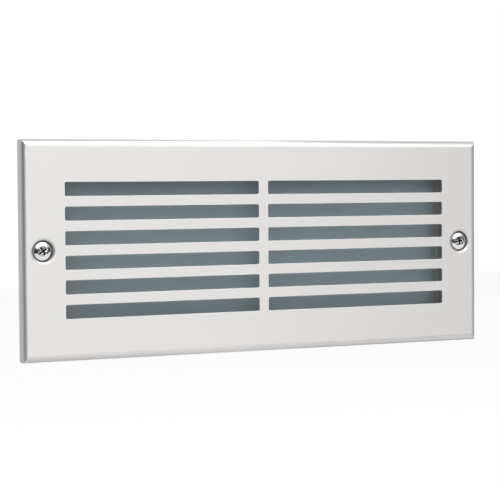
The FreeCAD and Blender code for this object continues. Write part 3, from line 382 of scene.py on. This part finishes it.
def make_materials():
    """Every finish, by the record's material slot."""
    return {
        "faceplate_steel": faceplate_steel(),
        "polished_steel": polished_steel(),
        "washer_nylon": finish("washer_nylon", (0.86, 0.86, 0.84), 0.42,
                               Subsurface_Weight=0.1, Subsurface_Scale=0.001,
                               grain=[(even(1500), 1e-5, 0.3)]),
        "foam": finish("foam", (0.10, 0.10, 0.105), 0.9, grain=[(even(2200), 2e-4, 0.8)]),
        "frosted_glass": finish(
            "frosted_glass", (0.60, 0.72, 0.775), 0.55, blotch=0.02, rough_spread=0.04,
            IOR=1.5, Transmission_Weight=0.6,
            grain=[(even(2600), 3e-5, 0.45), (even(160), 6e-5, 0.12)]),
        "gasket_silicone": finish("gasket_silicone", (0.34, 0.36, 0.37), 0.55,
                                  grain=[(even(1200), 3e-5, 0.3)]),
        "cast_aluminium": finish(
            "powder_coat", (0.30, 0.31, 0.32), 0.50, blotch=0.045, blotch_scale=30,
            rough_spread=0.08,
            grain=[(even(1100), 1.6e-4, 0.75), (even(230), 3e-4, 0.30)]),
        "reflector_aluminium": finish(
            "rolled_aluminium", (0.88, 0.88, 0.89), 0.22, 1.0, blotch=0.02,
            grain=[((3000, 3000, 60), 6e-6, 0.3), (even(60), 1e-4, 0.1)]),
        "zinc_steel": finish("zinc_steel", (0.62, 0.64, 0.66), 0.32, 1.0, blotch=0.12,
                             blotch_scale=220, grain=[(even(1300), 1e-5, 0.3)]),
        "porcelain": finish("porcelain", (0.88, 0.87, 0.83), 0.16, blotch=0.03, Coat_Weight=0.6,
                            grain=[(even(240), 4e-5, 0.12)]),
        "brass": finish("brass", (0.78, 0.60, 0.30), 0.28, 1.0, blotch=0.12, blotch_scale=180,
                        grain=[(even(1200), 1e-5, 0.25)]),
        "nickel": finish("nickel", (0.72, 0.70, 0.66), 0.20, 1.0, blotch=0.06, blotch_scale=150,
                         grain=[(even(900), 1e-5, 0.2)]),
        "opal": finish("opal", (0.93, 0.93, 0.90), 0.30, blotch=0.01, Subsurface_Weight=0.3,
                       grain=[(even(500), 1e-5, 0.1)], Subsurface_Scale=0.002,
                       Subsurface_Radius=(1.0, 0.95, 0.9)),
        "lamp_plastic": finish("lamp_plastic", (0.88, 0.88, 0.86), 0.38, blotch=0.02,
                               grain=[(even(1500), 1e-5, 0.3)]),
        "black_insulator": finish("black_insulator", (0.03, 0.03, 0.035), 0.12, Coat_Weight=0.5,
                                  grain=[(even(400), 2e-5, 0.15)]),
        "solder": finish("solder", (0.62, 0.62, 0.60), 0.35, 1.0, blotch=0.1, blotch_scale=300,
                         grain=[(even(700), 3e-5, 0.3)]),
        "board_white": finish("board_white", (0.86, 0.86, 0.84), 0.45,
                              grain=[(even(1600), 1e-5, 0.3)]),
        "led_phosphor": finish("led_phosphor", (0.88, 0.72, 0.22), 0.35, Coat_Weight=0.4,
                               grain=[(even(1500), 1e-5, 0.3)]),
        "circuit_board": finish("circuit_board", (0.07, 0.28, 0.14), 0.35, blotch=0.1,
                                grain=[((2500, 300, 2500), 1e-5, 0.3)]),
        "terminal_plastic": finish("terminal_plastic", (0.86, 0.86, 0.81), 0.40,
                                   blotch=0.03, Subsurface_Weight=0.15, Subsurface_Scale=0.001,
                                   grain=[(even(1300), 1e-5, 0.35)]),
        "brown_insulation": finish("brown_insulation", (0.26, 0.12, 0.06), 0.35,
                                   grain=[(even(900), 1e-5, 0.2)]),
        "blue_insulation": finish("blue_insulation", (0.05, 0.18, 0.52), 0.35,
                                  grain=[(even(900), 1e-5, 0.2)]),
        "earth_insulation": earth_insulation(),
        "copper": finish("copper", (0.80, 0.46, 0.32), 0.28, 1.0, blotch=0.1,
                         grain=[((4000, 300, 4000), 2e-5, 0.4)]),
        "black_rubber": finish("black_rubber", (0.05, 0.05, 0.052), 0.55, blotch=0.1,
                               grain=[(even(1300), 3e-5, 0.35)]),
    }


def dress_cad(materials):
    """Give each CAD node the finish of its slot in the record."""
    for entry in frame["record"]["subparts"]:
        mesh_object = nodes[entry["node"]]
        for material_slot in mesh_object.material_slots:
            material_slot.material = materials[entry["material_slot"]]


# ---------------------------------------------------------------------- detail pieces
WELD = 1e-7                 # points closer than this are one
SHARP_EDGE = math.radians(40)
SCREW_PITCH = 0.8 * MM
SCREW_AROUND = 36           # points round it
SCREW_ROWS = 8              # rows of points to each turn of its thread
SCREW_CREST = 2.45 * MM
SCREW_ROOT = 2.06 * MM
SCREW_TIP = 1.71 * MM
SCREW_NECK = 0.3 * MM       # plain, on both sides of the head's seat
SCREW_START = 0.5 * MM      # from the seat to where the thread sets in
SCREW_CHAMFER = 0.1 * MM
VEE_STRETCH = 1.3           # the vee is stretched this much and then cut off flat
CAP_PITCH = 3.63 * MM
CAP_AROUND = 72
CAP_ROWS = 14
CAP_CREST = 0.02 * MM       # below the CAD cap's radius, as are the next two
CAP_COLLAR = 0.05 * MM      # the plain band next to the lamp's housing
CAP_INSIDE = 0.50 * MM
CAP_DEPTH = 0.42 * MM       # of the rolled thread
CAP_RIM = 0.1 * MM          # how far its rim is below the middle of the thread
CAP_START = 0.6 * MM        # from the cap's ends to where the thread sets in
CAP_END = 1.2 * MM
CAP_BAND = 0.6 * MM         # length of the plain band
SHELL_DEPTH = 0.60 * MM
SHELL_SHEET = 0.14 * MM     # at the thread's deepest
SHELL_LIP = 4.0 * MM        # how far its floor reaches in
SHELL_FLOOR = 0.5 * MM
SHELL_START = 0.8 * MM
SHELL_END = 0.2 * MM
SHELL_OUTSIDE = 0.02 * MM   # below the CAD shell's radius
cap_low, cap_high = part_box("lamp_cap")
LAMP_Y = (cap_low[1] + cap_high[1]) / 2


def vee(phase):
    """Thread with flat crests and roots: 1 at a whole phase, -1 half-way between."""
    return max(-1.0, min(1.0, (4 * abs(phase % 1.0 - 0.5) - 1) * VEE_STRETCH))


def rolled(phase):
    """Rounded thread of a lamp cap."""
    return math.cos(TAU * phase)


def thread_rows(start, end, per_turn, pitch, radius, swing, fade):
    """Rows (place along the axis, radius, swing); the swing dies away over fade at both ends."""
    count = math.ceil((end - start) / pitch * per_turn)
    rows = []
    for index in range(count + 1):
        along = start + (end - start) * index / count
        share = min(1.0, (along - start) / fade, (end - along) / fade)
        rows.append((along, radius, swing * share * share * (3 - 2 * share)))
    return rows


def turned_mesh(name, rows, around, pitch, wave, spot, ring=False):
    """Mesh round an axis; a row's radius swings along a right-hand helix of that pitch.

    wave(phase) gives the swing's share, and spot(along, radius, angle) a point. A ring joins
    its last row to its first, and anything else is closed at both ends."""
    shape = bmesh.new()
    loops = []
    for along, radius, swing in rows:
        loop = []
        for step in range(around):
            turn = step / around
            swung = radius + swing * wave(along / pitch - turn)
            loop.append(shape.verts.new(spot(along, swung, TAU * turn)))
        loops.append(loop)
    pairs = list(zip(loops, loops[1:]))
    if ring:
        pairs.append((loops[-1], loops[0]))
    else:
        shape.faces.new(loops[0])
        shape.faces.new(loops[-1])
    for first, second in pairs:
        for step in range(around):
            after = (step + 1) % around
            shape.faces.new((first[step], first[after], second[after], second[step]))
    bmesh.ops.recalc_face_normals(shape, faces=shape.faces)
    return finished(name, shape)


def finished(name, shape):
    """Object of a bmesh, shaded smooth except over sharp edges."""
    mesh = bpy.data.meshes.new(name)
    shape.to_mesh(mesh)
    shape.free()
    mesh.shade_smooth()
    mesh.set_sharp_from_angle(angle=SHARP_EDGE)
    piece = bpy.data.objects.new(name, mesh)
    bpy.context.scene.collection.objects.link(piece)
    return piece


def dress_piece(piece, material_slot, body, *replaced):
    """Give a detail piece its finish and its body, in place of CAD nodes."""
    piece.data.materials.append(materials[material_slot])
    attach(piece, body)
    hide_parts(*replaced)


def screw_head(node, seat):
    """The head of a CAD screw, closed where its shaft was."""
    margin = 10 * WELD
    shape = bmesh.new()
    shape.from_mesh(nodes[node].data)
    bmesh.ops.remove_doubles(shape, verts=shape.verts, dist=WELD)
    behind = [face for face in shape.faces if all(v.co.y > seat - margin for v in face.verts)
              and face.calc_center_median().y > seat + margin]
    bmesh.ops.delete(shape, geom=behind, context="FACES")
    rims = [edge for edge in shape.edges if edge.is_boundary]
    bmesh.ops.holes_fill(shape, edges=rims, sides=0)
    return shape


def faceplate_screw(side):
    """Faceplate screw with its thread: the CAD head, and a shaft that starts inside it."""
    node = "faceplate_screw_" + side
    low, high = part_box(node)
    middle = (low[0] + high[0]) / 2
    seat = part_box("sealing_washer_" + side)[0][1]
    tip = high[1]
    mean = (SCREW_CREST + SCREW_ROOT) / 2
    swing = (SCREW_CREST - SCREW_ROOT) / 2
    rows = [(seat - SCREW_NECK, SCREW_ROOT, 0.0), (seat + SCREW_NECK, SCREW_ROOT, 0.0)]
    rows += thread_rows(seat + SCREW_START, tip - SCREW_CHAMFER, SCREW_ROWS,
                        SCREW_PITCH, mean, swing, SCREW_PITCH)
    rows.append((tip, SCREW_TIP, 0.0))
    shaft = turned_mesh(node + "_thread", rows, SCREW_AROUND, SCREW_PITCH, vee,
                        lambda y, r, a: (middle + r * math.sin(a), y, r * math.cos(a)))
    whole = screw_head(node, seat)
    whole.from_mesh(shaft.data)
    bpy.data.objects.remove(shaft)
    dress_piece(finished(node + "_threaded", whole), "polished_steel", "screw_" + side, node)


def lamp_spot(x, radius, angle):
    """Point round the lamp's axis."""
    return (x, LAMP_Y + radius * math.cos(angle), radius * math.sin(angle))


def lamp_cap():
    """Rolled screw cap of the lamp, round thread of 3.63 mm pitch."""
    radius = (cap_high[2] - cap_low[2]) / 2
    mean = radius - CAP_CREST - CAP_DEPTH / 2
    inside = radius - CAP_INSIDE
    collar = radius - CAP_COLLAR
    start, end = cap_low[0], cap_high[0]
    rows = [(start, inside, 0.0), (start, mean - CAP_RIM, 0.0)]
    rows += thread_rows(start + CAP_START, end - CAP_END, CAP_ROWS, CAP_PITCH, mean,
                        CAP_DEPTH / 2, CAP_PITCH / 2)
    rows += [(end - CAP_BAND, collar, 0.0), (end, collar, 0.0), (end, inside, 0.0)]
    cap = turned_mesh("lamp_cap_rolled", rows, CAP_AROUND, CAP_PITCH, rolled, lamp_spot,
                      ring=True)
    dress_piece(cap, "nickel", "lamp", "lamp_cap")


def lampholder_shell():
    """Threaded brass shell in the porcelain, which the lamp's cap screws into."""
    low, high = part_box("lampholder_shell")
    outside = (high[2] - low[2]) / 2 - SHELL_OUTSIDE
    mean = outside - SHELL_SHEET - SHELL_DEPTH / 2
    floor, mouth = low[0], high[0]
    lip = mean - SHELL_LIP
    rows = [(floor, lip, 0.0), (floor, outside, 0.0), (mouth, outside, 0.0)]
    wall = thread_rows(floor + SHELL_START, mouth - SHELL_END, CAP_ROWS, CAP_PITCH, mean,
                       SHELL_DEPTH / 2, CAP_PITCH / 2)
    rows += reversed(wall)
    rows += [(floor + SHELL_FLOOR, mean, 0.0), (floor + SHELL_FLOOR, lip, 0.0)]
    shell = turned_mesh("lampholder_shell_rolled", rows, CAP_AROUND, CAP_PITCH, rolled,
                        lamp_spot, ring=True)
    dress_piece(shell, "brass", "housing", "lampholder_shell")


# ------------------------------------------------------------------------------ stage
studio_camera()
studio_world()
studio_floor()
overhead_lamp()
materials = make_materials()
dress_cad(materials)
for screw_side in ("left", "right"):
    faceplate_screw(screw_side)
lamp_cap()
lampholder_shell()

bpy.context.scene.view_settings.view_transform = "Standard"
